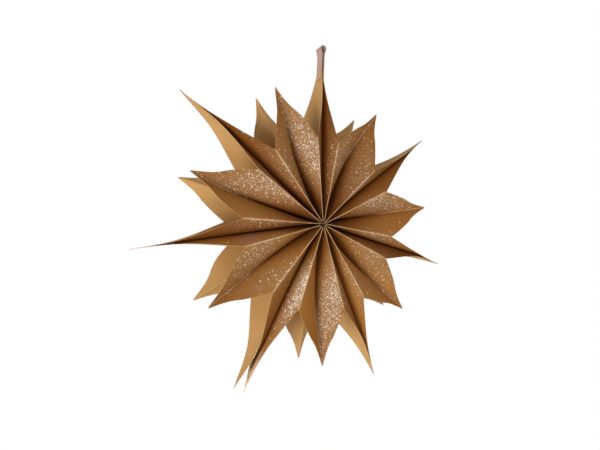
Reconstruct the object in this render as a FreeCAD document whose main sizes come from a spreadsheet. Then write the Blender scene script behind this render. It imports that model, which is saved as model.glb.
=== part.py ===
import FreeCAD, Part
import Sketcher
import math
import os

# Hanging star folded from seven gusseted kraft paper bags, with a ribbon loop on its top tip.
# The bags lie side by side like the pages of a fan: every bottom meets at the hub, each bag is
# glued to its neighbours along the middle of its two panels, and the mouths are cut to points.
# +Z is up, the star's axis runs along Y, and its front faces -Y. The origin is where a hook
# bears on the inside of the ribbon loop. Millimetres and degrees.

doc = FreeCAD.newDocument("paper_bag_star")

DIMENSIONS = {
    # The fan of bags
    "bag_count": 7,
    "first_bag_angle": -22.5,       # the first bag points this far clockwise of straight up
    # One bag: its width is the star's depth, and its length is the star's reach
    "bag_width": 58,                # front fold to rear fold at the hub
    "seam_reach": 218,              # hub axis to the long tip that two bags share
    "petal_reach": 169,             # hub axis to the tip of a side gusset
    "shoulder_reach": 105,          # hub axis to the low point of the cut, on a front or rear fold
    "shoulder_angle": 17,           # each fold leaves the bag's own direction by this much
    "shoulder_stand": 30,           # shoulders from the star's middle plane
    "petal_stand": 25,              # gusset tips from the star's middle plane
    "crease_gap": 2,                # between the front and rear gusset creases at the hub
    "crease_knee": 95,              # reach at which a gusset crease turns towards its tip
    "hub_lean": 2.9,                # the pinched front folds meet this much below the hub's middle
    # The cuts: each bulges next to the fold and is hollow before the tip
    "petal_bulge": 1,
    "petal_hollow": 3.5,
    "tip_bulge": 1,
    "tip_hollow": 1,
    "curl_reach": 0.7,              # share of a tip's reach at which its end starts to curl
    "paper_thickness": 0.3,         # kraft paper with its glue and glitter
    "fold_width": 0.8,              # a pressed fold is this wide over its rounded edge
    "layer_gap": 0.1,               # air between two layers pressed together at the hub
    "glue_film": 0.1,               # between two bags along their seam
    # The ribbon loop over the top tip
    "ribbon_width": 12,
    "ribbon_thickness": 0.8,
    "ribbon_leg": 35,               # glued length, down from the paper tip
    "ribbon_rise": 8.2,             # hook's bearing point above the paper tip
    "loop_width": 6.6,              # inside the loop, across
    "ribbon_clearance": 0.9,        # from the seam's faces to the ribbon, filled with glue
}

# How each bag strays from an even fan. Degrees for the swings of its petals, of its front folds
# and of the seam on its clockwise side. Millimetres for what is longer, for the lean of the
# seam's tip to the rear, and for the clockwise curl of the front petal and of the tip of the
# panel before and after it. The bags are numbered clockwise.
UNEVEN = {
    1: {
        "front_swing": 2.1, "rear_swing": -0.5, "petal_longer": -1, "petal_curl": -5,
        "fold_before_swing": 0.4, "fold_after_swing": 0.9,
        "fold_before_longer": -1, "fold_after_longer": -3,
        "seam_swing": -0.5, "seam_longer": 0, "seam_lean": -6,
        "tip_before_curl": -4, "tip_after_curl": 0,
    },
    2: {
        "front_swing": 0.3, "rear_swing": 0.0, "petal_longer": -3, "petal_curl": 2,
        "fold_before_swing": 0.1, "fold_after_swing": 2.4,
        "fold_before_longer": -4, "fold_after_longer": -3,
        "seam_swing": 0.5, "seam_longer": 1, "seam_lean": -4,
        "tip_before_curl": 0, "tip_after_curl": 0,
    },
    3: {
        "front_swing": 0.6, "rear_swing": 0.0, "petal_longer": -4, "petal_curl": 0,
        "fold_before_swing": 2.4, "fold_after_swing": 1.7,
        "fold_before_longer": -1, "fold_after_longer": -1,
        "seam_swing": -3.0, "seam_longer": -1, "seam_lean": 2,
        "tip_before_curl": 0, "tip_after_curl": 2,
    },
    4: {
        "front_swing": -0.4, "rear_swing": -2.0, "petal_longer": -5, "petal_curl": 1,
        "fold_before_swing": 0.6, "fold_after_swing": -0.6,
        "fold_before_longer": -2, "fold_after_longer": 3,
        "seam_swing": -3.0, "seam_longer": -2, "seam_lean": -1,
        "tip_before_curl": 2, "tip_after_curl": 0,
    },
    5: {
        "front_swing": -3.3, "rear_swing": -1.5, "petal_longer": 2, "petal_curl": 0,
        "fold_before_swing": -1.2, "fold_after_swing": -1.5,
        "fold_before_longer": 4, "fold_after_longer": 4,
        "seam_swing": -2.5, "seam_longer": -2, "seam_lean": -3,
        "tip_before_curl": 0, "tip_after_curl": -5,
    },
    6: {
        "front_swing": 0.4, "rear_swing": 2.5, "petal_longer": 2, "petal_curl": 1,
        "fold_before_swing": 1.7, "fold_after_swing": 1.3,
        "fold_before_longer": 1, "fold_after_longer": 1,
        "seam_swing": 0.5, "seam_longer": 3, "seam_lean": 2,
        "tip_before_curl": 7, "tip_after_curl": 0,
    },
    7: {
        "front_swing": -0.6, "rear_swing": 0.5, "petal_longer": 1, "petal_curl": 3,
        "fold_before_swing": 0.6, "fold_after_swing": 0.2,
        "fold_before_longer": 0, "fold_after_longer": -2,
        "seam_swing": -0.5, "seam_longer": 3, "seam_lean": 1,
        "tip_before_curl": 0, "tip_after_curl": -4,
    },
}

sheet = doc.addObject("Spreadsheet::Sheet", "dimensions")


def add_cell(row, name, value):
    sheet.set(f"A{row}", name)
    sheet.set(f"B{row}", str(value))
    sheet.setAlias(f"B{row}", name)


row = 0
for name, value in DIMENSIONS.items():
    row += 1
    add_cell(row, name, value)
for number, strays in UNEVEN.items():
    for name, value in strays.items():
        row += 1
        add_cell(row, f"bag_{number}_{name}", value)
doc.recompute()


def size(name):
    return float(sheet.get(name))


BAG_COUNT = int(size("bag_count"))
EVEN_STEP = 360 / BAG_COUNT
PAPER = size("paper_thickness")
HALF_WIDTH = size("bag_width") / 2
FRONT = -1
REAR = 1

# Rays along a bag's length, from the hub to the cut edge
PANEL_RAYS = 5
GUSSET_RAYS = 4
RAY_STATIONS = 7

# How late a panel bends away from its seam: 1 would be an even bend, more keeps the tip flat
PANEL_BEND = 3


# Directions round the star

def stray(number, name):
    """How far a bag strays; bags past the listed ones are even."""
    if number in UNEVEN:
        return size(f"bag_{number}_{name}")
    return 0.0


def petal_angle(number, side):
    swing = "front_swing" if side == FRONT else "rear_swing"
    return size("first_bag_angle") + (number - 1) * EVEN_STEP + stray(number, swing)


def fold_angle(number, side, turn):
    """Angle of a fold's shoulder, on the clockwise side of the bag if turn is 1, else before it."""
    if side == FRONT:
        direction = petal_angle(number, side) - stray(number, "front_swing")
        direction += stray(number, "fold_after_swing" if turn > 0 else "fold_before_swing")
    else:
        direction = petal_angle(number, side)
    return direction + turn * size("shoulder_angle")


def seam_number(number):
    """The seam before the first bag is the last bag's own seam."""
    return (number - 1) % BAG_COUNT + 1


def seam_angle(number):
    """Angle of the seam between bag number and the next one clockwise."""
    even = size("first_bag_angle") + (number - 0.5) * EVEN_STEP
    return even + stray(seam_number(number), "seam_swing")


def polar(reach, angle, depth):
    """A point at a reach from the hub axis, an angle clockwise from up, and a depth."""
    bearing = math.radians(angle)
    return FreeCAD.Vector(reach * math.sin(bearing), depth, reach * math.cos(bearing))


def between(first, second, share):
    return first + (second - first) * share


# The hub is as small as the pressed bag bottoms allow: three folds and the air between them.
bottom_thickness = 3 * size("fold_width") + 4 * size("layer_gap")
HUB_RADIUS = bottom_thickness / 2 / math.sin(math.pi / BAG_COUNT)


# One bag as a ring of rays: each ray is a list of points from the hub to the cut edge

def cut_line(share, bulge, hollow):
    """How far a cut stands out from the straight line between a shoulder and a tip."""
    height = bulge if share < 0.5 else hollow
    return height * math.sin(math.tau * share)


def curled(point, curl, tip_reach):
    """The point moved clockwise as far as the end of its tip has curled there."""
    reach = math.hypot(point.x, point.z)
    start = size("curl_reach") * tip_reach
    share = min(max((reach - start) / (tip_reach - start), 0), 1)
    bend = curl * share * share * (3 - 2 * share)
    return point + FreeCAD.Vector(point.z, 0, -point.x) / reach * bend


def straight_ray(start, end):
    return [between(start, end, i / RAY_STATIONS) for i in range(RAY_STATIONS + 1)]


def creased_ray(start, knee, end):
    """A gusset crease: level at the hub, then coming out to the tip in one easy curve."""
    ray = []
    for i in range(RAY_STATIONS + 1):
        share = i / RAY_STATIONS
        ray.append(between(between(start, knee, share), between(knee, end, share), share))
    return ray


def bag_corner_rays(number, seam, side, turn):
    """The rays of one quarter of a bag, from its seam round one fold to the gusset crease.

    seam is the seam's number, side is front or rear, and turn is +1 for the clockwise
    panel and -1 for the other one.
    """
    hub_seam = polar(HUB_RADIUS, seam_angle(seam), 0)
    other = number - 1 if turn > 0 else number
    hub_other = polar(HUB_RADIUS, seam_angle(other), 0)
    hub_middle = between(hub_seam, hub_other, 0.5)
    outward = (hub_seam - hub_middle).normalize()
    half_chord = (hub_seam - hub_middle).Length

    def hub_point(offset, depth):
        lean = size("hub_lean") * depth / HALF_WIDTH
        return hub_middle + outward * offset + FreeCAD.Vector(0, depth, lean)

    strayed = seam_number(seam)
    tip_reach = size("seam_reach") + stray(strayed, "seam_longer")
    tip_lean = stray(strayed, "seam_lean")
    tip_curl = stray(number, "tip_after_curl" if turn > 0 else "tip_before_curl")
    petal_reach = size("petal_reach")
    petal_curl = 0
    fold_reach = size("shoulder_reach")
    if side == FRONT:
        petal_reach += stray(number, "petal_longer")
        petal_curl = stray(number, "petal_curl")
        fold_reach += stray(number, "fold_after_longer" if turn > 0 else "fold_before_longer")
    direction = petal_angle(number, side)
    fold_turned = fold_angle(number, side, turn)
    fold_depth = side * size("shoulder_stand")
    fold_step = math.degrees(size("fold_width") / fold_reach)
    film_step = math.degrees(size("glue_film") / 2 / tip_reach)

    # The panel leaves its glued seam as a flat sheet and bends away towards the fold.
    rays = []
    for i in range(PANEL_RAYS + 1):
        share = i / PANEL_RAYS
        inset = size("glue_film") / 2 + (size("layer_gap") - size("glue_film")) / 2 * share
        start = hub_point(half_chord - inset, side * HALF_WIDTH * share)
        seam_edge = seam_angle(seam) - turn * film_step
        angle = seam_edge + (fold_turned - seam_edge) * share ** PANEL_BEND
        reach = tip_reach + (fold_reach - tip_reach) * share
        reach += cut_line(1 - share, size("tip_bulge"), size("tip_hollow"))
        end = polar(reach, angle, tip_lean * (1 - share) + fold_depth * share)
        rays.append([curled(point, tip_curl, tip_reach) for point in straight_ray(start, end)])

    # Round the fold, then in along the gusset to its crease.
    fold_start = hub_point(half_chord - size("layer_gap") / 2 - size("fold_width"), side * HALF_WIDTH)
    fold_end = polar(fold_reach, fold_turned - turn * fold_step, fold_depth)
    crease_depth = side * size("crease_gap") / 2
    half_fold = size("fold_width") / 2
    crease_start = hub_point(half_fold, crease_depth)
    crease_step = math.degrees(half_fold / size("crease_knee"))
    crease_knee = polar(size("crease_knee"), direction + turn * crease_step, crease_depth)
    tip_step = math.degrees(half_fold / petal_reach)
    petal_tip = polar(petal_reach, direction + turn * tip_step, side * size("petal_stand"))
    for i in range(GUSSET_RAYS + 1):
        share = i / GUSSET_RAYS
        start = between(fold_start, crease_start, share)
        end = between(fold_end, petal_tip, share)
        lengthways = (end - start).normalize()
        end += lengthways * cut_line(share, size("petal_bulge"), size("petal_hollow"))
        knee = between(between(start, end, 0.5), crease_knee, share)
        rays.append([curled(point, petal_curl, petal_reach) for point in creased_ray(start, knee, end)])
    return rays


def bag_rays(number):
    """All rays of a bag, once round it: front clockwise, front, rear and back to the seam."""
    front_left = bag_corner_rays(number, number - 1, FRONT, -1)
    front_right = bag_corner_rays(number, number, FRONT, 1)
    rear_right = bag_corner_rays(number, number, REAR, 1)
    rear_left = bag_corner_rays(number, number - 1, REAR, -1)
    ring = front_left + front_right[::-1] + rear_right[1:] + rear_left[::-1]
    return ring[:-1]


def strip_normal(ray, next_ray, station):
    """Outward direction of the strip between two rays, at one station along them."""
    low = max(station - 1, 0)
    high = min(station + 1, RAY_STATIONS)
    normal = (next_ray[low] - ray[high]).cross(next_ray[high] - ray[low])
    return normal.normalize()


def inner_rays(rays):
    """The same rays on the bag's inside, one paper thickness in, mitred at every fold."""
    inside = []
    for j, ray in enumerate(rays):
        before = rays[j - 1]
        after = rays[(j + 1) % len(rays)]
        points = []
        for i, point in enumerate(ray):
            first = strip_normal(before, ray, i)
            second = strip_normal(ray, after, i)
            mitre = (first + second) * (PAPER / (1 + first.dot(second)))
            points.append(point - mitre)
        inside.append(points)
    return inside


def triangle(first, second, third):
    return Part.Face(Part.makePolygon([first, second, third, first]))


def strip_corners(j, count):
    """Offsets of a strip's two triangles: neighbouring bags share the same lines along a seam.

    A quarter that runs from its seam to its crease is split one way, and its mirror the other.
    """
    half_ring = count // 2
    if j % half_ring > half_ring // 2:
        return (((0, 0), (1, 0), (0, 1)), ((1, 0), (1, 1), (0, 1)))
    return (((0, 0), (1, 0), (1, 1)), ((0, 0), (1, 1), (0, 1)))


def folded_sheet(rays):
    """A closed solid of one paper thickness whose outside follows the rays."""
    inside = inner_rays(rays)
    count = len(rays)
    faces = []
    for j in range(count):
        k = (j + 1) % count
        for corners in strip_corners(j, count):
            for i in range(RAY_STATIONS):
                outer = [rays[(j + across) % count][i + along] for across, along in corners]
                inner = [inside[(j + across) % count][i + along] for across, along in corners]
                faces.append(triangle(outer[0], outer[1], outer[2]))
                faces.append(triangle(inner[0], inner[2], inner[1]))
        for i in (0, RAY_STATIONS):
            faces.append(triangle(rays[j][i], rays[k][i], inside[k][i]))
            faces.append(triangle(rays[j][i], inside[k][i], inside[j][i]))
    shell = Part.makeShell(faces)
    solid = Part.makeSolid(shell)
    if solid.Volume < 0:
        solid.reverse()
    return solid


# The hook's bearing point, above the tip that the first two bags share

top_tip_reach = size("seam_reach") + stray(1, "seam_longer")
bearing_point = polar(top_tip_reach + size("ribbon_rise"), seam_angle(1), stray(1, "seam_lean"))

parts = []
for number in range(1, BAG_COUNT + 1):
    bag = doc.addObject("Part::Feature", f"bag_{number}")
    bag.Label = f"bag_{number}"
    bag.Shape = folded_sheet(bag_rays(number))
    bag.Placement = FreeCAD.Placement(-bearing_point, FreeCAD.Rotation())
    parts.append(bag)


# Ribbon loop: both legs glued over the top tip, and an open eye above it for the hook

ribbon = doc.addObject("PartDesign::Body", "hanging_loop")
ribbon.Label = "hanging_loop"
side_plane = [plane for plane in ribbon.Origin.OriginFeatures if plane.Role == "XZ_Plane"][0]
profile = ribbon.newObject("Sketcher::SketchObject", "ribbon_edge")
profile.AttachmentSupport = [(side_plane, "")]
profile.MapMode = "FlatFace"


def vector(x, y):
    return FreeCAD.Vector(x, y, 0)


leg_inside = PAPER + size("glue_film") / 2 + size("ribbon_clearance")
leg_outside = leg_inside + size("ribbon_thickness")
eye_inside = size("loop_width") / 2
eye_outside = eye_inside + size("ribbon_thickness")
foot_height = -size("ribbon_rise") - size("ribbon_leg")


def add_line(first, second):
    return profile.addGeometry(Part.LineSegment(first, second), False)


def half_outline(side, leg_x, eye_x):
    """A leg and the slant from its top to the eye, on one side of the ribbon."""
    foot = vector(side * leg_x, foot_height)
    top = vector(side * leg_x, -size("ribbon_rise"))
    eye = vector(side * eye_x, -eye_inside)
    leg = add_line(foot, top)
    slant = add_line(top, eye)
    return leg, slant


def add_top_arc(radius):
    circle = Part.Circle(vector(0, -eye_inside), FreeCAD.Vector(0, 0, 1), radius)
    return profile.addGeometry(Part.ArcOfCircle(circle, 0, math.pi), False)


# Sketcher's numbers for a line's or arc's points, and for the sketch's own origin and upright axis
START, END, CENTRE = 1, 2, 3
ORIGIN, UPRIGHT_AXIS = -1, -2


def join(first, first_point, second, second_point):
    profile.addConstraint(Sketcher.Constraint("Coincident", first, first_point, second, second_point))


def bind(name, formula, *constraint):
    """Adds a dimension and ties it to the spreadsheet."""
    index = profile.addConstraint(Sketcher.Constraint(*constraint))
    profile.renameConstraint(index, name)
    profile.setExpression(f"Constraints.{name}", formula)


LEG_FORMULA = "dimensions.paper_thickness + dimensions.glue_film / 2 + dimensions.ribbon_clearance"
EYE_FORMULA = "dimensions.loop_width / 2"
FOOT_FORMULA = "dimensions.ribbon_rise + dimensions.ribbon_leg"
loops = (
    ("inner", leg_inside, eye_inside, ""),
    ("outer", leg_outside, eye_outside, " + dimensions.ribbon_thickness"),
)
legs = {}
for name, leg_x, eye_x, thicker in loops:
    right_leg, right_slant = half_outline(1, leg_x, eye_x)
    left_leg, left_slant = half_outline(-1, leg_x, eye_x)
    arc = add_top_arc(eye_x)
    legs[name] = (right_leg, left_leg)
    join(right_leg, END, right_slant, START)
    join(right_slant, END, arc, START)
    join(left_leg, END, left_slant, START)
    join(left_slant, END, arc, END)
    profile.addConstraint(Sketcher.Constraint("Vertical", right_leg))
    for point in (START, END):
        mirrored = Sketcher.Constraint("Symmetric", right_leg, point, left_leg, point, UPRIGHT_AXIS)
        profile.addConstraint(mirrored)
        profile.addConstraint(Sketcher.Constraint("Horizontal", arc, point, arc, CENTRE))
    profile.addConstraint(Sketcher.Constraint("PointOnObject", arc, CENTRE, UPRIGHT_AXIS))
    bind(f"{name}_leg", LEG_FORMULA + thicker, "DistanceX", ORIGIN, START, right_leg, START, leg_x)
    bind(f"{name}_eye", EYE_FORMULA + thicker, "Radius", arc, eye_x)
    bind(f"{name}_centre", EYE_FORMULA, "DistanceY", arc, CENTRE, ORIGIN, START, eye_inside)
    rise = size("ribbon_rise")
    bind(f"{name}_top", "dimensions.ribbon_rise", "DistanceY", right_leg, END, ORIGIN, START, rise)
    bind(f"{name}_foot", FOOT_FORMULA, "DistanceY", right_leg, START, ORIGIN, START, -foot_height)

for side, inner_leg, outer_leg in zip((1, -1), legs["inner"], legs["outer"]):
    foot = add_line(vector(side * leg_inside, foot_height), vector(side * leg_outside, foot_height))
    join(foot, START, inner_leg, START)
    join(foot, END, outer_leg, START)

band = ribbon.newObject("PartDesign::Pad", "ribbon_band")
band.Profile = profile
band.setExpression("Length", "dimensions.ribbon_width")
band.SideType = "Symmetric"
ribbon.Tip = band
ribbon.Placement = FreeCAD.Placement(
    FreeCAD.Vector(0, 0, 0),
    FreeCAD.Rotation(FreeCAD.Vector(0, 1, 0), seam_angle(1)),
)
parts.append(ribbon)

doc.recompute()
for thing in doc.Objects:
    if "Invalid" in thing.State or "Error" in thing.State:
        raise RuntimeError(f"{thing.Label} did not rebuild: {thing.State}")
for part in parts:
    if part.Shape.isNull() or not part.Shape.isValid():
        raise RuntimeError(f"{part.Label} has no valid shape")

os.makedirs("parts", exist_ok=True)
for part in parts:
    part.Shape.exportStep(f"parts/{part.Label}.step")
    print(part.Label, "volume", round(part.Shape.Volume, 1), "mm3, solids", len(part.Shape.Solids))
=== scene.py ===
import math

import bmesh
import bpy
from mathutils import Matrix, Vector, noise


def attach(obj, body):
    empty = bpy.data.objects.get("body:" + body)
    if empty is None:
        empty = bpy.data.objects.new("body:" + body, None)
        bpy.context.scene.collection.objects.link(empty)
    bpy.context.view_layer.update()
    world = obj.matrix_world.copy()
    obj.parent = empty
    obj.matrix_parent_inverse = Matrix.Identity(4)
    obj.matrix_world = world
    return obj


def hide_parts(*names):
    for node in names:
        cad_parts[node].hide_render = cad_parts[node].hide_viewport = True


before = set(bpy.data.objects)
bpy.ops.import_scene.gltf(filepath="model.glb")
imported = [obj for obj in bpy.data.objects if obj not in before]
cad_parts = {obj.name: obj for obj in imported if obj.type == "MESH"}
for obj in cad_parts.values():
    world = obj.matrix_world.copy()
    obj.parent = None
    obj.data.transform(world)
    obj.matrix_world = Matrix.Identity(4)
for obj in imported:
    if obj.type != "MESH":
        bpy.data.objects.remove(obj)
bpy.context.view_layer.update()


# Seven kraft paper bags
# Each bag is one sheet of brown paper, glued into a flat tube with a gusset pressed into each
# side. Seven are stacked and glued along their middles, cut to points at the mouth, and fanned
# round into a ring, so that the folds radiate from the hub like the spokes of a wheel.

BAG_COUNT = 7
EVEN_STEP = math.tau / BAG_COUNT
FIRST_BAG = math.radians(-22.5)
HALF_WIDTH = 0.029
SEAM_REACH = 0.218
PETAL_REACH = 0.169
PETAL_STAND = 0.025
SHOULDER_REACH = 0.105
SHOULDER_ANGLE = math.radians(17)
SHOULDER_STAND = 0.030
CREASE_HUB_DEPTH = 0.001
CREASE_KNEE = 0.095
PAPER = 0.0003
FOLD_WIDTH = 0.0008
LAYER_GAP = 0.0001
HUB_RADIUS = (3 * FOLD_WIDTH + 4 * LAYER_GAP) / 2 / math.sin(math.pi / BAG_COUNT)
HUB_TILT = 0.1
HOOK_ABOVE_TIP = 0.0082
PANEL_BEND = 3
FRONT = -1
REAR = 1

# How each bag strays from the even fan. In degrees: the front petal, the rear petal, the two front
# folds and the long tip clockwise of the bag. In millimetres: how much longer the petal, the folds
# and the tip are, and how far the tip leans to the rear.
STRAYS = {
    1: {
        "petal": 2.1, "rear": -0.5, "folds": (0.4, 0.9), "seam": -0.5,
        "petal_longer": -1, "folds_longer": (-1, -3), "tip_longer": 0, "tip_lean": -6,
    },
    2: {
        "petal": 0.3, "rear": 0.0, "folds": (0.1, 2.4), "seam": 0.5,
        "petal_longer": -3, "folds_longer": (-4, -3), "tip_longer": 1, "tip_lean": -4,
    },
    3: {
        "petal": 0.6, "rear": 0.0, "folds": (2.4, 1.7), "seam": -3.0,
        "petal_longer": -4, "folds_longer": (-1, -1), "tip_longer": -1, "tip_lean": 2,
    },
    4: {
        "petal": -0.4, "rear": -2.0, "folds": (0.6, -0.6), "seam": -3.0,
        "petal_longer": -5, "folds_longer": (-2, 3), "tip_longer": -2, "tip_lean": -1,
    },
    5: {
        "petal": -3.3, "rear": -1.5, "folds": (-1.2, -1.5), "seam": -2.5,
        "petal_longer": 2, "folds_longer": (4, 4), "tip_longer": -2, "tip_lean": -3,
    },
    6: {
        "petal": 0.4, "rear": 2.5, "folds": (1.7, 1.3), "seam": 0.5,
        "petal_longer": 2, "folds_longer": (1, 1), "tip_longer": 3, "tip_lean": 2,
    },
    7: {
        "petal": -0.6, "rear": 0.5, "folds": (0.6, 0.2), "seam": -0.5,
        "petal_longer": 1, "folds_longer": (0, -2), "tip_longer": 3, "tip_lean": 1,
    },
}

# Clockwise millimetres that the ends of some tips have curled, by bag and side of the bag: the two
# layers of the lower left tip have peeled apart. The front petals have a middle of their own.
CURLS = {(7, 1): -4, (1, -1): -4, (5, 1): -5, (6, -1): 7, (3, 1): 2, (4, -1): 2}
PETAL_CURLS = {1: -5, 2: 2, 7: 3, 4: 1, 6: 1}
CURL_START = 0.70
PETAL_CURL_START = 0.72


def petal_angle(number, side):
    swing = STRAYS[number]["petal" if side == FRONT else "rear"]
    return FIRST_BAG + (number - 1) * EVEN_STEP + math.radians(swing)


def fold_angle(number, side, turn):
    if side == REAR:
        return petal_angle(number, side) + turn * SHOULDER_ANGLE
    swing = STRAYS[number]["folds"][0 if turn < 0 else 1]
    return FIRST_BAG + (number - 1) * EVEN_STEP + math.radians(swing) + turn * SHOULDER_ANGLE


def seam_bag(seam):
    return (seam - 1) % BAG_COUNT + 1


def seam_angle(seam):
    swing = math.radians(STRAYS[seam_bag(seam)]["seam"])
    return FIRST_BAG + (seam - 0.5) * EVEN_STEP + swing


def round_star(reach, angle, depth):
    """A point by its reach from the hub axis, its angle clockwise from up, and its depth."""
    return Vector((reach * math.sin(angle), depth, reach * math.cos(angle)))


top_reach = SEAM_REACH + STRAYS[1]["tip_longer"] / 1000
HUB = -round_star(top_reach + HOOK_ABOVE_TIP, seam_angle(1), STRAYS[1]["tip_lean"] / 1000)


def cut_line(share, first, second):
    """A cut across a layer: first bends its first half inwards, and second bends its second out."""
    return share + (first if share < 0.5 else second) * math.sin(math.tau * share) / math.tau


def smooth(low, high, value):
    share = min(max((value - low) / (high - low), 0), 1)
    return share * share * (3 - 2 * share)


class Ray:
    """One line of the folded sheet from the hub to the cut edge, and where it lies in the fold."""

    def __init__(self, start, knee, end, kind, share, turn, side, curl, curl_start, curl_reach):
        self.start = start
        self.knee = knee
        self.end = end
        self.kind = kind
        self.share = share
        self.turn = turn
        self.side = side
        self.curl = curl
        self.curl_start = curl_start
        self.curl_reach = curl_reach

    def point(self, along):
        if self.knee is None:
            place = self.start.lerp(self.end, along)
        else:
            place = self.start.lerp(self.knee, along).lerp(self.knee.lerp(self.end, along), along)
        outward = place - HUB
        outward.y = 0
        bend = smooth(self.curl_start, 1.0, outward.length / self.curl_reach)
        clockwise = Vector((outward.z, 0, -outward.x)).normalized()
        return place + clockwise * (self.curl * bend)


PANEL_COLUMNS = 14
GUSSET_COLUMNS = 14
ROWS = 84
PETAL_SHOULDER = 0.10
ROUND_SHOULDERS = {(1, 1, FRONT): 0.20, (7, 1, FRONT): 0.24, (6, 1, REAR): 0.40}
PETAL_POINT = 0.35
TIP_SHOULDER = 0.05
TIP_POINT = 0.05

# The two layers of the lower left tip were cut fuller than the rest.
FULL_TIPS = {(5, 1): 0.040, (6, -1): 0.055}

# How much further out the front folds start than the seams, so that the hub stays open
HUB_OPENING = 0.0013


def quarter_rays(number, turn, side):
    """The rays from a bag's seam over one fold to the crease of its gusset."""
    seam = number if turn > 0 else number - 1
    other = number - 1 if turn > 0 else number
    hub_seam = round_star(HUB_RADIUS, seam_angle(seam), 0)
    hub_other = round_star(HUB_RADIUS, seam_angle(other), 0)
    hub_middle = (hub_seam + hub_other) / 2
    outward = (hub_seam - hub_middle).normalized()
    half_chord = (hub_seam - hub_middle).length
    strays = STRAYS[seam_bag(seam)]
    tip_reach = SEAM_REACH + strays["tip_longer"] / 1000
    tip_lean = strays["tip_lean"] / 1000
    direction = petal_angle(number, side)
    fold_direction = fold_angle(number, side, turn)
    fold_depth = side * SHOULDER_STAND
    fold_reach = SHOULDER_REACH
    petal_reach = PETAL_REACH
    petal_curl = 0
    if side == FRONT:
        fold_reach += STRAYS[number]["folds_longer"][0 if turn < 0 else 1] / 1000
        petal_reach += STRAYS[number]["petal_longer"] / 1000
        petal_curl = PETAL_CURLS.get(number, 0) / 1000
    curl = CURLS.get((number, turn), 0) / 1000

    def at_hub(offset, depth):
        opening = hub_middle.normalized() * (HUB_OPENING * abs(depth) / HALF_WIDTH)
        return HUB + hub_middle + opening + outward * offset + Vector((0, depth, depth * HUB_TILT))

    rays = []
    for i in range(PANEL_COLUMNS + 1):
        share = 1 - (1 - i / PANEL_COLUMNS) ** 1.5
        start = at_hub(half_chord - LAYER_GAP / 2, side * HALF_WIDTH * share)
        angle = seam_angle(seam) + (fold_direction - seam_angle(seam)) * share ** PANEL_BEND
        angle -= turn * LAYER_GAP / 2 / tip_reach
        cut = cut_line(share, TIP_POINT, TIP_SHOULDER)
        cut -= FULL_TIPS.get((number, turn), 0) * math.sin(math.pi * share)
        reach = tip_reach + (fold_reach - tip_reach) * cut
        depth = tip_lean * (1 - share) + fold_depth * share
        end = HUB + round_star(reach, angle, depth)
        rays.append(Ray(start, None, end, "panel", share, turn, side, curl, CURL_START, tip_reach))

    # The gusset's two lines, on the far side of the rounded fold and at the crease
    fold_start = at_hub(half_chord - LAYER_GAP / 2 - FOLD_WIDTH, side * HALF_WIDTH)
    fold_turn = turn * FOLD_WIDTH / fold_reach
    crease_start = at_hub(FOLD_WIDTH / 2, side * CREASE_HUB_DEPTH)
    knee_turn = turn * FOLD_WIDTH / 2 / CREASE_KNEE
    crease_knee = HUB + round_star(CREASE_KNEE, direction + knee_turn, side * CREASE_HUB_DEPTH)
    tip_turn = turn * FOLD_WIDTH / 2 / petal_reach
    shoulder = HUB + round_star(fold_reach, fold_direction - fold_turn, fold_depth)
    petal_tip = HUB + round_star(petal_reach, direction + tip_turn, side * PETAL_STAND)
    for i in range(GUSSET_COLUMNS + 1):
        share = (1 - math.cos(math.pi * i / GUSSET_COLUMNS)) / 2
        start = fold_start.lerp(crease_start, share)
        end = shoulder.lerp(petal_tip, share)
        bulge = ROUND_SHOULDERS.get((number, turn, side), PETAL_SHOULDER)
        beyond_chord = cut_line(share, bulge, PETAL_POINT) - share
        end += (end - start).normalized() * (petal_reach - fold_reach) * beyond_chord
        straight_middle = start.lerp(end, 0.5)
        knee = straight_middle.lerp(crease_knee, share) if share else straight_middle
        ray = Ray(start, knee, end, "gusset", share, turn, side, petal_curl, PETAL_CURL_START, petal_reach)
        rays.append(ray)
    return rays


def bag_rays(number):
    """All rays once round a bag, from one seam back to the same seam."""
    front_left = quarter_rays(number, -1, FRONT)
    front_right = quarter_rays(number, 1, FRONT)
    rear_right = quarter_rays(number, 1, REAR)
    rear_left = quarter_rays(number, -1, REAR)
    return front_left + front_right[::-1] + rear_right[1:] + rear_left[::-1]


# How far the paper bows between its folds, and the size of its small creases
GUSSET_BOW = 0.0012
PANEL_BOW = 0.0008
CRINKLE = 0.00022
CRINKLE_SPACING = 0.022

# How thickly glitter lies on each front face of each bag, going clockwise: panel, petal half,
# petal half, panel. The amounts differ from face to face.
GLITTER = {
    1: (0.40, 0.35, 0.90, 0.22),
    2: (0.35, 0.55, 0.45, 0.35),
    3: (0.15, 0.75, 0.15, 0.60),
    4: (0.15, 0.55, 0.25, 0.45),
    5: (0.30, 0.95, 0.06, 1.20),
    6: (0.20, 0.42, 0.60, 0.20),
    7: (0.40, 0.15, 0.75, 0.22),
}
REAR_GLITTER = 0.10
CREASE_SPECKS = 0.75
FOLD_SPECKS = 0.85


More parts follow.
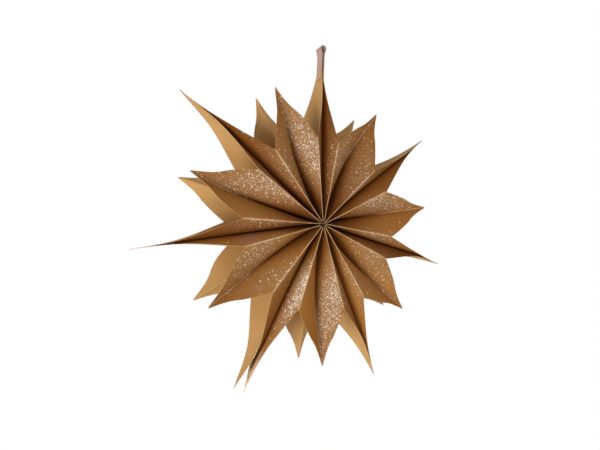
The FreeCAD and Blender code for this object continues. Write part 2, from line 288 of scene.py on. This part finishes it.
def glitter_amount(number, ray, along):
    """How much of the paper the glitter covers: most by the folds, least in the valleys."""
    if ray.side == REAR:
        return REAR_GLITTER * smooth(0.1, 0.5, along)
    panel_before, petal_before, petal_after, panel_after = GLITTER[number]
    outer = smooth(0.35, 0.6, along) * (1 - 0.6 * smooth(0.85, 1.0, along))
    if ray.kind == "panel":
        amount = panel_before if ray.turn < 0 else panel_after
        near_fold = smooth(0.62 - 0.3 * amount, 1.0, ray.share)
        lengthways = smooth(0.22, 0.6, along) * (1 - 0.5 * smooth(0.8, 1, along))
        return max(amount * near_fold * lengthways, FOLD_SPECKS * smooth(0.96, 1, ray.share) * outer)
    amount = petal_before if ray.turn < 0 else petal_after
    across = 1 - (0.75 - 0.45 * amount) * smooth(0.1, 0.9, ray.share)
    lengthways = smooth(0.12 + 0.28 * ray.share, 0.7, along) * (1 - 0.35 * smooth(0.85, 1.0, along))
    specks = max(CREASE_SPECKS * smooth(0.94, 1, ray.share), FOLD_SPECKS * smooth(0.05, 0, ray.share))
    return max(amount * across * lengthways, specks * outer)


def fold_amount(ray, along):
    if ray.kind == "gusset" and ray.side == FRONT and ray.share > 0.99:
        return 0.55 * smooth(0.5, 0.75, along)
    near_fold = ray.share > 0.99 if ray.kind == "panel" else ray.share < 0.006
    return 1.0 if near_fold else 0.0


# How much painted shade lies on each bag: the panel before its petal, the two petal halves, the
# panel after, and how far out along the petal the painted dark of the hub reaches. It stands in
# for the shade that falls in the valleys and round the hub.
PAINTED_SHADE = {
    1: (0.90, 0.10, 0.20, 0.95, 0.85),
    2: (1.00, 0.20, 0.60, 0.60, 1.00),
    3: (0.80, 0.00, 0.10, 0.00, 0.75),
    4: (0.95, 0.00, 0.00, 0.00, 0.60),
    5: (0.50, 0.00, 0.00, 0.05, 0.60),
    6: (0.60, 0.05, 0.00, 0.20, 0.65),
    7: (0.90, 0.15, 0.20, 0.90, 0.80),
}


def painted_shade_amount(number, ray, along):
    """How much painted shade lies here: it stands in for the shade in the valleys and by the hub."""
    panel_before, petal_before, petal_after, panel_after, hub_reach = PAINTED_SHADE[number]
    # The rear faces get a painted shade that deepens towards the hub.
    if ray.side == REAR:
        return 0.3 * (1 - along)
    if ray.kind == "panel":
        amount = panel_before if ray.turn < 0 else panel_after
        near_fold = smooth(0.8, 1.0, ray.share) * smooth(0.2, 0.8, along)
        return max(amount, 1 - smooth(0.1, 0.6, along)) * (1 - 0.3 * near_fold)
    amount = petal_before if ray.turn < 0 else petal_after
    from_hub = (1 - smooth(0.15 * hub_reach, hub_reach, along)) * (0.75 + 0.25 * ray.share)
    return amount + (1 - amount) * from_hub


# How deep the painted shade is right by the hub
HUB_SHADE = {1: 0.75, 2: 0.50, 3: 0.30, 4: 0.35, 5: 0.20, 6: 0.20, 7: 0.40}


def hub_shade(number, ray, along):
    return 0 if ray.side == REAR else HUB_SHADE[number] * (1 - smooth(0.1, 0.5, along))


# The two mauve marks and the worn tip, by share of the way out along the paper and across it
SMEAR_ENDS = (0.42, 0.50, 0.82, 0.90)
SMEAR_START = (0.47, 0.57)
SMEAR_SLOPE = 0.78
SMEAR_STRENGTH = 0.6
STREAK_ENDS = (0.64, 0.80, 0.83, 0.86)
STRIPES = (0.905, 0.945)
STRIPE_HALF = 0.015


def mark_amount(number, ray, along):
    """How much of a mauve mark lies here: a smear on bag 6 and a streak on the tip beside bag 5."""
    if ray.side == REAR or ray.kind != "panel" or ray.turn < 0:
        return 0
    if number == 6:
        begin_along, begin_across = SMEAR_START
        middle = begin_across + SMEAR_SLOPE * (along - begin_along)
        lengthways = smooth(*SMEAR_ENDS[:2], along) * (1 - smooth(*SMEAR_ENDS[2:], along))
        return SMEAR_STRENGTH * lengthways * (1 - smooth(0.05, 0.15, abs(ray.share - middle)))
    if number == 5:
        lengthways = smooth(*STREAK_ENDS[:2], along) * (1 - smooth(*STREAK_ENDS[2:], along))
        return lengthways * (1 - smooth(0.08, 0.25, ray.share))
    return 0


def ragged_amount(number, ray, along):
    """How worn pale the paper is: the lower left tip has two cross stripes and a bleached end."""
    if ray.kind != "panel" or (number, ray.turn) not in ((5, 1), (6, -1)):
        return 0
    stripes = max(1 - abs(along - place) / STRIPE_HALF for place in STRIPES)
    return max(stripes, smooth(0.95, 0.98, along), 0) * (1 - smooth(0.2, 0.45, ray.share))


def folded_bag(number):
    """A flat sheet the size of the bag, folded ray by ray and glued into a tube."""
    rays = bag_rays(number)
    bm = bmesh.new()
    bmesh.ops.create_grid(bm, x_segments=len(rays) - 1, y_segments=ROWS, size=1)
    glitter = bm.verts.layers.float.new("glitter")
    fold = bm.verts.layers.float.new("fold")
    # Painted shade for the valleys and the hub
    painted_shade = bm.verts.layers.float.new("painted_shade")
    # Deeper painted shade right by the hub
    painted_hub_shade = bm.verts.layers.float.new("painted_hub_shade")
    mark = bm.verts.layers.float.new("mark")
    ragged = bm.verts.layers.float.new("ragged")
    column_layer = bm.verts.layers.int.new("column")
    row_layer = bm.verts.layers.int.new("row")
    for vert in bm.verts:
        vert[column_layer] = round((vert.co.x + 1) / 2 * (len(rays) - 1))
        vert[row_layer] = round((vert.co.y + 1) / 2 * ROWS)
    for vert in bm.verts:
        vert.co = rays[vert[column_layer]].point(vert[row_layer] / ROWS)
    bmesh.ops.remove_doubles(bm, verts=bm.verts, dist=0.00001)
    bmesh.ops.recalc_face_normals(bm, faces=bm.faces)
    bm.normal_update()
    front_most = min(bm.faces, key=lambda face: face.calc_center_median().y)
    if front_most.normal.y > 0:
        bmesh.ops.reverse_faces(bm, faces=bm.faces)
        bm.normal_update()
    moved = {}
    for vert in bm.verts:
        ray = rays[vert[column_layer]]
        along = vert[row_layer] / ROWS
        across = math.sin(math.pi * ray.share)
        if ray.kind == "panel":
            free = smooth(0.3, 0.8, ray.share)
            bow = PANEL_BOW * across * free
        else:
            bow = GUSSET_BOW * across
            free = 1 - ray.share * 0.6
        crinkle = CRINKLE * noise.noise(vert.co / CRINKLE_SPACING + Vector((number * 7, 0, 0))) * free
        shift = (bow * math.sin(math.pi * min(along, 0.9)) + crinkle) * smooth(0.05, 0.3, along)
        vert[glitter] = glitter_amount(number, ray, along)
        vert[fold] = fold_amount(ray, along)
        vert[painted_shade] = painted_shade_amount(number, ray, along)
        vert[painted_hub_shade] = hub_shade(number, ray, along)
        vert[mark] = mark_amount(number, ray, along)
        vert[ragged] = ragged_amount(number, ray, along)
        moved[vert] = vert.co + vert.normal * shift
    for vert, place in moved.items():
        vert.co = place
    for face in bm.faces:
        face.smooth = True
    for edge in bm.edges:
        edge.smooth = not edge.is_boundary
    mesh = bpy.data.meshes.new(f"bag_{number}_paper")
    bm.to_mesh(mesh)
    bm.free()
    return mesh


def linear(red, green, blue):
    """A colour read as 0 to 255 on a screen, as the shader wants it."""
    channels = []
    for value in (red, green, blue):
        share = value / 255
        channels.append(share / 12.92 if share <= 0.04045 else ((share + 0.055) / 1.055) ** 2.4)
    return (*channels, 1)


def new_material(name):
    material = bpy.data.materials.new(name)
    material.use_nodes = True
    shader = material.node_tree.nodes["Principled BSDF"]
    return material, material.node_tree, shader


def add_node(tree, kind, **settings):
    node = tree.nodes.new(kind)
    for name, value in settings.items():
        if name in node.inputs:
            node.inputs[name].default_value = value
        else:
            setattr(node, name, value)
    return node


def math_node(tree, operation, first, second, clamp=False):
    node = add_node(tree, "ShaderNodeMath", operation=operation, use_clamp=clamp)
    for socket, value in zip(node.inputs, (first, second)):
        if isinstance(value, (int, float)):
            socket.default_value = value
        else:
            tree.links.new(value, socket)
    return node.outputs[0]


def mix_colours(tree, share, first, second):
    node = add_node(tree, "ShaderNodeMix", data_type="RGBA")
    for name, value in (("Factor", share), ("A", first), ("B", second)):
        sockets = [s for s in node.inputs if s.name == name and s.enabled]
        if isinstance(value, (int, float, tuple)):
            sockets[0].default_value = value
        else:
            tree.links.new(value, sockets[0])
    return [s for s in node.outputs if s.enabled][0]


def stretched_noise(tree, scale, detail, stretch=(1, 1, 1)):
    place = add_node(tree, "ShaderNodeTexCoord")
    mapping = add_node(tree, "ShaderNodeMapping", Scale=stretch)
    texture = add_node(tree, "ShaderNodeTexNoise", Scale=scale, Detail=detail)
    tree.links.new(place.outputs["Object"], mapping.inputs["Vector"])
    tree.links.new(mapping.outputs[0], texture.inputs["Vector"])
    return texture.outputs["Fac"]


def paper_bump(tree, shader, fibre, strength, distance):
    bump = add_node(tree, "ShaderNodeBump", Strength=strength, Distance=distance)
    tree.links.new(fibre, bump.inputs["Height"])
    tree.links.new(bump.outputs[0], shader.inputs["Normal"])
    return bump


def flakes(tree, scale):
    """Two random numbers for each flake of glitter: whether it is there, and its shade."""
    place = add_node(tree, "ShaderNodeTexCoord")
    cells = add_node(tree, "ShaderNodeTexVoronoi", Scale=scale)
    tree.links.new(place.outputs["Object"], cells.inputs["Vector"])
    split = add_node(tree, "ShaderNodeSeparateColor")
    tree.links.new(cells.outputs["Color"], split.inputs[0])
    return split.outputs["Red"], split.outputs["Green"]


def glittered_kraft():
    """Brown kraft paper under a coat of champagne glitter that thins out towards the valleys."""
    material, tree, shader = new_material("kraft_glittered")
    cloud = stretched_noise(tree, 38, 4)
    fibre = stretched_noise(tree, 900, 6)
    paper = mix_colours(tree, cloud, linear(150, 94, 34), linear(164, 107, 46))
    # Painted shade in the valleys and by the hub
    painted_shade = add_node(tree, "ShaderNodeAttribute", attribute_name="painted_shade")
    paper = mix_colours(tree, painted_shade.outputs["Fac"], paper, linear(106, 56, 8))
    # Deeper painted shade right by the hub
    painted_hub_shade = add_node(tree, "ShaderNodeAttribute", attribute_name="painted_hub_shade")
    paper = mix_colours(tree, painted_hub_shade.outputs["Fac"], paper, linear(58, 26, 2))
    paper = mix_colours(tree, math_node(tree, "MULTIPLY", fibre, 0.25), paper, linear(96, 54, 18))

    # Flakes well under a millimetre across, each with a shade of its own, and fewer, larger bright ones.
    # The spread of shades is partly the flakes' own tones, partly painted glints; the bright ones are
    # painted glints.
    amount = add_node(tree, "ShaderNodeAttribute", attribute_name="glitter")
    patchy = stretched_noise(tree, 200, 3)
    density = math_node(tree, "MULTIPLY", amount.outputs["Fac"], math_node(tree, "ADD", patchy, 0.6))
    flake_chance, flake_shade = flakes(tree, 1600)
    spark_chance, spark_shade = flakes(tree, 1050)
    present = math_node(tree, "LESS_THAN", flake_chance, density)
    rare = math_node(tree, "MULTIPLY", math_node(tree, "POWER", density, 2), 0.13)
    painted_glints = math_node(tree, "LESS_THAN", spark_chance, rare)
    shade = add_node(tree, "ShaderNodeValToRGB")
    ramp = shade.color_ramp
    ramp.elements[0].position = 0.0
    ramp.elements[0].color = linear(112, 76, 44)
    ramp.elements[1].position = 1.0
    ramp.elements[1].color = linear(232, 212, 190)
    for position, colour in ((0.4, (140, 104, 66)), (0.75, (166, 132, 96))):
        element = ramp.elements.new(position)
        element.color = linear(*colour)
    thick = math_node(tree, "MULTIPLY_ADD", amount.outputs["Fac"], 0.5)
    thick.node.inputs[2].default_value = 0.5
    tree.links.new(math_node(tree, "MULTIPLY", flake_shade, thick), shade.inputs["Fac"])
    dust = math_node(tree, "MULTIPLY", amount.outputs["Fac"], 0.45)
    dusted = mix_colours(tree, dust, paper, linear(160, 126, 90))
    colour = mix_colours(tree, present, dusted, shade.outputs["Color"])
    # Painted glints: bright flakes that stand in for flakes catching the light
    painted_glint_colour = mix_colours(tree, spark_shade, linear(190, 160, 130), linear(244, 230, 214))
    colour = mix_colours(tree, painted_glints, colour, painted_glint_colour)

    # The pressed folds are paler: partly rubbed wear, partly a painted highlight along their rounded edges
    fold = add_node(tree, "ShaderNodeAttribute", attribute_name="fold")
    rubbed_and_highlit = math_node(tree, "MULTIPLY", fold.outputs["Fac"], math_node(tree, "ADD", patchy, 0.05))
    colour = mix_colours(tree, rubbed_and_highlit, colour, linear(206, 170, 126))
    mark = add_node(tree, "ShaderNodeAttribute", attribute_name="mark")
    smear = math_node(tree, "MULTIPLY", mark.outputs["Fac"], 0.7)
    colour = mix_colours(tree, smear, colour, linear(140, 98, 92))
    ragged = add_node(tree, "ShaderNodeAttribute", attribute_name="ragged")
    colour = mix_colours(tree, ragged.outputs["Fac"], colour, linear(232, 212, 182))
    tree.links.new(colour, shader.inputs["Base Color"])
    shader.inputs["Specular IOR Level"].default_value = 0.1
    gloss = math_node(tree, "MULTIPLY", present, -0.35)
    tree.links.new(math_node(tree, "ADD", gloss, 0.8), shader.inputs["Roughness"])
    paper_bump(tree, shader, fibre, 0.35, 0.0004)
    return material


def plain_kraft():
    """The bag's inside: bare kraft paper, paler than the outside, with fine fibres."""
    material, tree, shader = new_material("kraft_inside")
    cloud = stretched_noise(tree, 30, 4)
    fibre = stretched_noise(tree, 700, 6)
    paper = mix_colours(tree, cloud, linear(182, 138, 82), linear(196, 154, 98))
    paper = mix_colours(tree, math_node(tree, "MULTIPLY", fibre, 0.3), paper, linear(156, 110, 58))
    tree.links.new(paper, shader.inputs["Base Color"])
    shader.inputs["Roughness"].default_value = 0.72
    shader.inputs["Specular IOR Level"].default_value = 0.2
    paper_bump(tree, shader, fibre, 0.12, 0.0004)
    return material


def cut_kraft():
    """The cut edge of the paper, where its pale core shows."""
    material, tree, shader = new_material("kraft_cut_edge")
    fibre = stretched_noise(tree, 1500, 4)
    paper = mix_colours(tree, fibre, linear(176, 124, 74), linear(222, 184, 140))
    tree.links.new(paper, shader.inputs["Base Color"])
    shader.inputs["Roughness"].default_value = 0.85
    return material


paper_materials = [glittered_kraft(), plain_kraft(), cut_kraft()]


def new_piece(name, mesh, materials):
    piece = bpy.data.objects.new(name, mesh)
    bpy.context.scene.collection.objects.link(piece)
    for material in materials:
        mesh.materials.append(material)
    return piece


for number in range(1, BAG_COUNT + 1):
    bag = new_piece(f"bag_{number}_paper", folded_bag(number), paper_materials)
    wall = bag.modifiers.new("paper_thickness", "SOLIDIFY")
    wall.thickness = PAPER
    wall.offset = -1
    wall.material_offset = 1
    wall.material_offset_rim = 2
    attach(bag, "root")
    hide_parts(f"bag_{number}")


# The ribbon loop
# A strip of dusty mauve velvet ribbon is folded over the top tip, glued to both of its faces, and
# left standing open above the tip for a hook.

RIBBON_WIDTH = 0.012
RIBBON_THICKNESS = 0.0008
RIBBON_LEG = 0.035
LOOP_HALF = 0.0033
LEG_HALF = 0.00125
RIBBON_ROWS = 90
RIBBON_COLUMNS = 8
FADE_START = 0.014
FADE_LENGTH = 0.022


def ribbon_path(along):
    """Where the ribbon's middle line lies across and up, from one foot over the top to the other."""
    eye_centre = -LOOP_HALF
    middle = LOOP_HALF + RIBBON_THICKNESS / 2
    leg = LEG_HALF + RIBBON_THICKNESS / 2
    straight = 0.40
    if along > 0.5:
        across, up = ribbon_path(1 - along)
        return -across, up
    if along < straight:
        share = along / straight
        foot = -HOOK_ABOVE_TIP - RIBBON_LEG
        up = foot + (eye_centre - foot) * share
        opening = smooth(-HOOK_ABOVE_TIP - 0.004, eye_centre, up)
        return -(leg + (middle - leg) * opening), up
    turn = (along - straight) / (0.5 - straight) * math.pi / 2
    return -middle * math.cos(turn), eye_centre + middle * math.sin(turn)


def folded_ribbon():
    bm = bmesh.new()
    bmesh.ops.create_grid(bm, x_segments=RIBBON_COLUMNS, y_segments=RIBBON_ROWS, size=1)
    lean = seam_angle(1)
    upward = Vector((math.sin(lean), 0, math.cos(lean)))
    sideways = Vector((math.cos(lean), 0, -math.sin(lean)))
    for vert in bm.verts:
        depth = vert.co.x * RIBBON_WIDTH / 2
        across, up = ribbon_path((vert.co.y + 1) / 2)
        vert.co = sideways * across + upward * up + Vector((0, depth, 0))
    bmesh.ops.recalc_face_normals(bm, faces=bm.faces)
    mesh = bpy.data.meshes.new("hanging_loop_ribbon")
    bm.to_mesh(mesh)
    bm.free()
    return mesh


def velvet():
    material, tree, shader = new_material("ribbon_velvet")
    pile = stretched_noise(tree, 1600, 4)
    streaks = stretched_noise(tree, 420, 3, (1, 1, 0.08))
    colour = mix_colours(tree, streaks, linear(150, 112, 104), linear(182, 146, 132))
    place = add_node(tree, "ShaderNodeTexCoord")
    height = add_node(tree, "ShaderNodeSeparateXYZ")
    tree.links.new(place.outputs["Object"], height.inputs[0])
    low = math_node(tree, "MULTIPLY_ADD", height.outputs["Z"], -1 / FADE_LENGTH, True)
    low.node.inputs[2].default_value = -FADE_START / FADE_LENGTH
    colour = mix_colours(tree, low, colour, linear(172, 130, 88))
    tree.links.new(colour, shader.inputs["Base Color"])
    shader.inputs["Roughness"].default_value = 0.9
    shader.inputs["Sheen Weight"].default_value = 0.5
    paper_bump(tree, shader, pile, 0.5, 0.0004)
    return material


ribbon = new_piece("hanging_loop_ribbon", folded_ribbon(), [velvet()])
ribbon_wall = ribbon.modifiers.new("ribbon_thickness", "SOLIDIFY")
ribbon_wall.thickness = RIBBON_THICKNESS
ribbon_wall.offset = 0
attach(ribbon, "root")
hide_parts("hanging_loop")


# Floor and backdrop
# Both are plain white, and show the camera an even white with no shadow of the star that hangs in front of
# them.

FLOOR_DROP = 1.6
BACKDROP_BEHIND = 0.9
STAGE_SIZE = 8


def stage_white():
    material, tree, shader = new_material("stage_white")
    shader.inputs["Base Color"].default_value = (0.8, 0.8, 0.8, 1)
    shader.inputs["Roughness"].default_value = 0.9
    path = add_node(tree, "ShaderNodeLightPath")
    bright = add_node(tree, "ShaderNodeEmission", Strength=1.0)
    seen = math_node(tree, "ADD", path.outputs["Is Camera Ray"], path.outputs["Is Glossy Ray"], True)
    seen = math_node(tree, "ADD", seen, path.outputs["Is Transmission Ray"], True)
    mixer = add_node(tree, "ShaderNodeMixShader")
    tree.links.new(seen, mixer.inputs[0])
    tree.links.new(shader.outputs[0], mixer.inputs[1])
    tree.links.new(bright.outputs[0], mixer.inputs[2])
    tree.links.new(mixer.outputs[0], tree.nodes["Material Output"].inputs["Surface"])
    return material


def stage_sheet(name, across, up, centre):
    bm = bmesh.new()
    bmesh.ops.create_grid(bm, x_segments=1, y_segments=1, size=0.5)
    for vert in bm.verts:
        vert.co = centre + across * vert.co.x + up * vert.co.y
    mesh = bpy.data.meshes.new(name)
    bm.to_mesh(mesh)
    bm.free()
    return new_piece(name, mesh, [white])


white = stage_white()
wide = Vector((STAGE_SIZE, 0, 0))
floor = stage_sheet("floor", wide, Vector((0, STAGE_SIZE, 0)), Vector((0, 0, -FLOOR_DROP)))
backdrop_centre = Vector((0, BACKDROP_BEHIND, STAGE_SIZE / 2 - FLOOR_DROP))
backdrop = stage_sheet("backdrop", wide, Vector((0, 0, STAGE_SIZE)), backdrop_centre)


# Light
# A broad soft lamp stands to the left, and two weaker ones to the right and low in front, in a
# pale room.

def soft_lamp(name, place, size, power):
    lamp = bpy.data.lights.new(name, "AREA")
    lamp.shape = "DISK"
    lamp.size = size
    lamp.energy = power
    lamp_object = bpy.data.objects.new(name, lamp)
    bpy.context.scene.collection.objects.link(lamp_object)
    lamp_object.location = HUB + place
    lamp_object.rotation_euler = (-place).to_track_quat("-Z", "Y").to_euler()
    return lamp_object


soft_lamp("key_lamp", Vector((-1.5, -0.8, -0.45)), 0.8, 24)
soft_lamp("fill_lamp", Vector((0.9, -1.5, 0.7)), 1.2, 9)
soft_lamp("low_lamp", Vector((-0.3, -1.3, -1.1)), 1.0, 6)

world = bpy.data.worlds.new("studio")
bpy.context.scene.world = world
world.use_nodes = True
sky = world.node_tree.nodes["Background"]
sky.inputs["Color"].default_value = (1, 1, 1, 1)
path = add_node(world.node_tree, "ShaderNodeLightPath")
seen = math_node(world.node_tree, "ADD", path.outputs["Is Camera Ray"], path.outputs["Is Glossy Ray"], True)
seen = math_node(world.node_tree, "ADD", seen, path.outputs["Is Transmission Ray"], True)
strength = math_node(world.node_tree, "MULTIPLY_ADD", seen, 0.55)
strength.node.inputs[2].default_value = 0.45
world.node_tree.links.new(strength, sky.inputs["Strength"])


# Camera
# The photograph was taken close to the star, from its left and a little below its hub.

FOCAL_PIXELS = 520
PHOTO_WIDTH = 600
HUB_RIGHT_OF_CENTRE = 11.8
HUB_ABOVE_CENTRE = 1.8
CAMERA_DISTANCE = 0.65
camera_yaw = math.radians(29.7)
camera_pitch = math.radians(-4.2)

camera_data = bpy.data.cameras.new("camera")
camera_data.sensor_width = 36
camera_data.lens = camera_data.sensor_width * FOCAL_PIXELS / PHOTO_WIDTH
camera_data.shift_x = -HUB_RIGHT_OF_CENTRE / PHOTO_WIDTH
camera_data.shift_y = -HUB_ABOVE_CENTRE / PHOTO_WIDTH
camera_data.clip_start = 0.05
camera_data.clip_end = 30
camera = bpy.data.objects.new("camera", camera_data)
bpy.context.scene.collection.objects.link(camera)
level = math.cos(camera_pitch)
backward = Vector((-math.sin(camera_yaw) * level, -math.cos(camera_yaw) * level, math.sin(camera_pitch)))
camera.location = HUB + backward * CAMERA_DISTANCE
camera.rotation_euler = (-backward).to_track_quat("-Z", "Y").to_euler()
bpy.context.scene.camera = camera
bpy.context.scene.view_settings.view_transform = "Standard"
